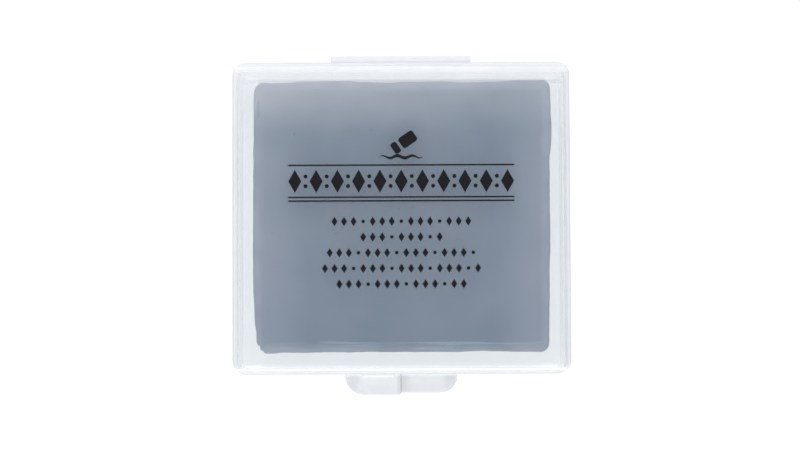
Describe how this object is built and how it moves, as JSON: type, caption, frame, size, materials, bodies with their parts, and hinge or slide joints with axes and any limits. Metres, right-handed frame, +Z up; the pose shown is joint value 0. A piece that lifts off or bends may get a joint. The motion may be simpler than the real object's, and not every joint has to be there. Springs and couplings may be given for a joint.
{
  "type": "kneaded eraser",
  "caption": "Slab of grey kneadable putty eraser in a hinged, see-through plastic storage case with thumb tabs at the front.",
  "frame": {"origin": "centre of the closed case's underside", "axes": "+Z up through the lid, +Y towards the hinge, +X to the right when the thumb tabs face the viewer"},
  "size_m": [0.0454, 0.0463, 0.0131],
  "materials": {
    "case_plastic": "clear with a slight milky haze, smooth and glossy",
    "putty": "matt blue-grey putty with faint streaks"
  },
  "bodies": {
    "base": {"case_base": "case_plastic", "eraser": "putty", "hinge_film": "case_plastic"},
    "lid": {"case_lid": "case_plastic"}
  },
  "joints": [
    {"name": "lid_hinge", "type": "hinge", "parent": "base", "child": "lid", "pos_m": [0, 0.02235, 0.00655], "axis": [-1, 0, 0], "range_deg": [0, 179.5], "deforming": ["hinge_film"]}
  ]
}
